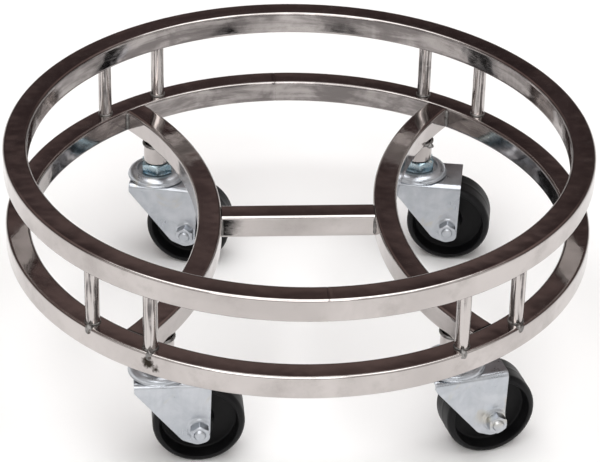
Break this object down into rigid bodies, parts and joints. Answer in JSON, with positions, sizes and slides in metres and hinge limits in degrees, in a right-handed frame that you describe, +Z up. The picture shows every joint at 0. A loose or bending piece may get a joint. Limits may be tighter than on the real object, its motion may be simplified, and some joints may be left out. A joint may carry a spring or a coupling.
{
  "type": "drum dolly",
  "caption": "Round drum dolly: two square-tube rings joined by rods, bowed braces with a cross bar below the drum, and swivel casters with black wheels.",
  "frame": {"origin": "on the floor under the centre of the rings", "axes": "+Z up; +X to the right, along the cross bar within 1.2 degrees; +Y to the rear"},
  "size_m": [0.3396, 0.3396, 0.143],
  "materials": {
    "frame_steel": "polished stainless steel square tube and round rod, lightly scuffed, with ground welds",
    "bright_zinc": "bright zinc plate on pressed steel, satin",
    "blue_zinc": "blue passivated zinc plate",
    "bearing_steel": "greased bearing steel",
    "black_nylon": "black moulded nylon with a soft sheen"
  },
  "bodies": {
    "frame": {"upper_ring": "frame_steel", "lower_ring": "frame_steel", "brace_left": "frame_steel", "brace_right": "frame_steel", "cross_bar": "frame_steel", "rod_front_left_outer": "frame_steel", "rod_front_left_inner": "frame_steel", "rod_front_right_outer": "frame_steel", "rod_front_right_inner": "frame_steel", "rod_rear_left_outer": "frame_steel", "rod_rear_left_inner": "frame_steel", "rod_rear_right_outer": "frame_steel", "rod_rear_right_inner": "frame_steel", "stem_boss_front_left": "frame_steel", "stem_front_left": "bright_zinc", "stem_nut_front_left": "blue_zinc", "race_cap_front_left": "bright_zinc", "stem_boss_front_right": "frame_steel", "stem_front_right": "bright_zinc", "stem_nut_front_right": "blue_zinc", "race_cap_front_right": "bright_zinc", "stem_boss_rear_left": "frame_steel", "stem_rear_left": "bright_zinc", "stem_nut_rear_left": "blue_zinc", "race_cap_rear_left": "bright_zinc", "stem_boss_rear_right": "frame_steel", "stem_rear_right": "bright_zinc", "stem_nut_rear_right": "blue_zinc", "race_cap_rear_right": "bright_zinc"},
    "swivel_front_left": {"fork_front_left": "bright_zinc", "ball_ring_front_left": "bearing_steel", "axle_bolt_front_left": "bright_zinc", "axle_nut_front_left": "bright_zinc", "axle_sleeve_front_left": "bright_zinc"},
    "wheel_front_left": {"wheel_front_left": "black_nylon"},
    "swivel_front_right": {"fork_front_right": "bright_zinc", "ball_ring_front_right": "bearing_steel", "axle_bolt_front_right": "bright_zinc", "axle_nut_front_right": "bright_zinc", "axle_sleeve_front_right": "bright_zinc"},
    "wheel_front_right": {"wheel_front_right": "black_nylon"},
    "swivel_rear_left": {"fork_rear_left": "bright_zinc", "ball_ring_rear_left": "bearing_steel", "axle_bolt_rear_left": "bright_zinc", "axle_nut_rear_left": "bright_zinc", "axle_sleeve_rear_left": "bright_zinc"},
    "wheel_rear_left": {"wheel_rear_left": "black_nylon"},
    "swivel_rear_right": {"fork_rear_right": "bright_zinc", "ball_ring_rear_right": "bearing_steel", "axle_bolt_rear_right": "bright_zinc", "axle_nut_rear_right": "bright_zinc", "axle_sleeve_rear_right": "bright_zinc"},
    "wheel_rear_right": {"wheel_rear_right": "black_nylon"}
  },
  "joints": [
    {"name": "swivel_front_left", "type": "hinge", "parent": "frame", "child": "swivel_front_left", "pos_m": [-0.07941, -0.1079, 0.0565], "axis": [0, 0, 1], "continuous": true},
    {"name": "roll_front_left", "type": "hinge", "parent": "swivel_front_left", "child": "wheel_front_left", "pos_m": [-0.05844, -0.1068, 0.026], "axis": [-0.0523, 0.9986, 0], "continuous": true},
    {"name": "swivel_front_right", "type": "hinge", "parent": "frame", "child": "swivel_front_right", "pos_m": [0.08386, -0.10448, 0.0565], "axis": [0, 0, 1], "continuous": true},
    {"name": "roll_front_right", "type": "hinge", "parent": "swivel_front_right", "child": "wheel_front_right", "pos_m": [0.10415, -0.09904, 0.026], "axis": [-0.2588, 0.9659, 0], "continuous": true},
    {"name": "swivel_rear_left", "type": "hinge", "parent": "frame", "child": "swivel_rear_left", "pos_m": [-0.08386, 0.10448, 0.0565], "axis": [0, 0, 1], "continuous": true},
    {"name": "roll_rear_left", "type": "hinge", "parent": "swivel_rear_left", "child": "wheel_rear_left", "pos_m": [-0.06321, 0.10065, 0.026], "axis": [0.1822, 0.9833, 0], "continuous": true},
    {"name": "swivel_rear_right", "type": "hinge", "parent": "frame", "child": "swivel_rear_right", "pos_m": [0.07941, 0.1079, 0.0565], "axis": [0, 0, 1], "continuous": true},
    {"name": "roll_rear_right", "type": "hinge", "parent": "swivel_rear_right", "child": "wheel_rear_right", "pos_m": [0.10021, 0.10498, 0.026], "axis": [0.1392, 0.9903, 0], "continuous": true}
  ]
}
